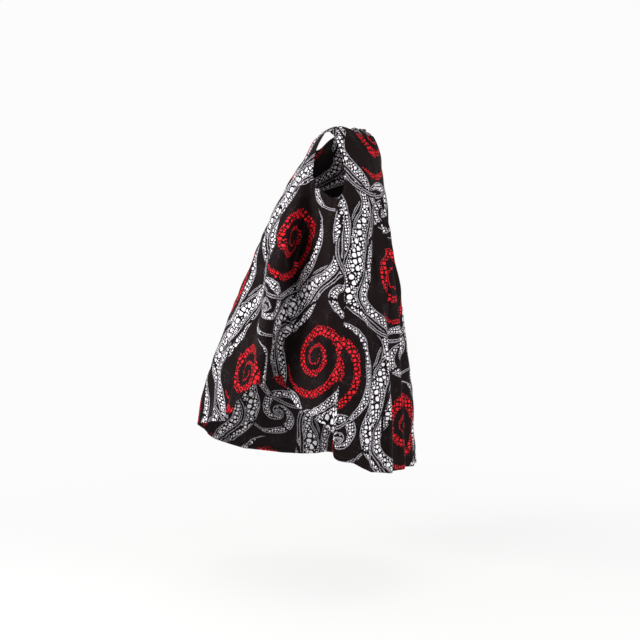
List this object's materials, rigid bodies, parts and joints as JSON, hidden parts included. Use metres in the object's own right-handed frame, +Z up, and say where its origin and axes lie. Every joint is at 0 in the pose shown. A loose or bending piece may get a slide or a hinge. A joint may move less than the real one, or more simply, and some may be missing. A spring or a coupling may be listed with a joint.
{
  "type": "ankara wax print dress",
  "caption": "Sleeveless wax print swing dress, hollow as worn, with a round neck, open armholes and a wide flared hem swung forward at the left.",
  "frame": {"origin": "midway between the two shoulder tips, at the height of the tips, where the wearer's shoulders hold the dress", "axes": "+Z up; the front of the dress faces -Y; +X is the wearer's left"},
  "size_m": [0.6762, 0.7275, 1.119],
  "materials": {
    "wax_print": "printed plain-weave cotton, white and red dotted bands on a near-black ground"
  },
  "bodies": {
    "root": {"front_panel": "wax_print", "back_panel": "wax_print"}
  },
  "joints": []
}
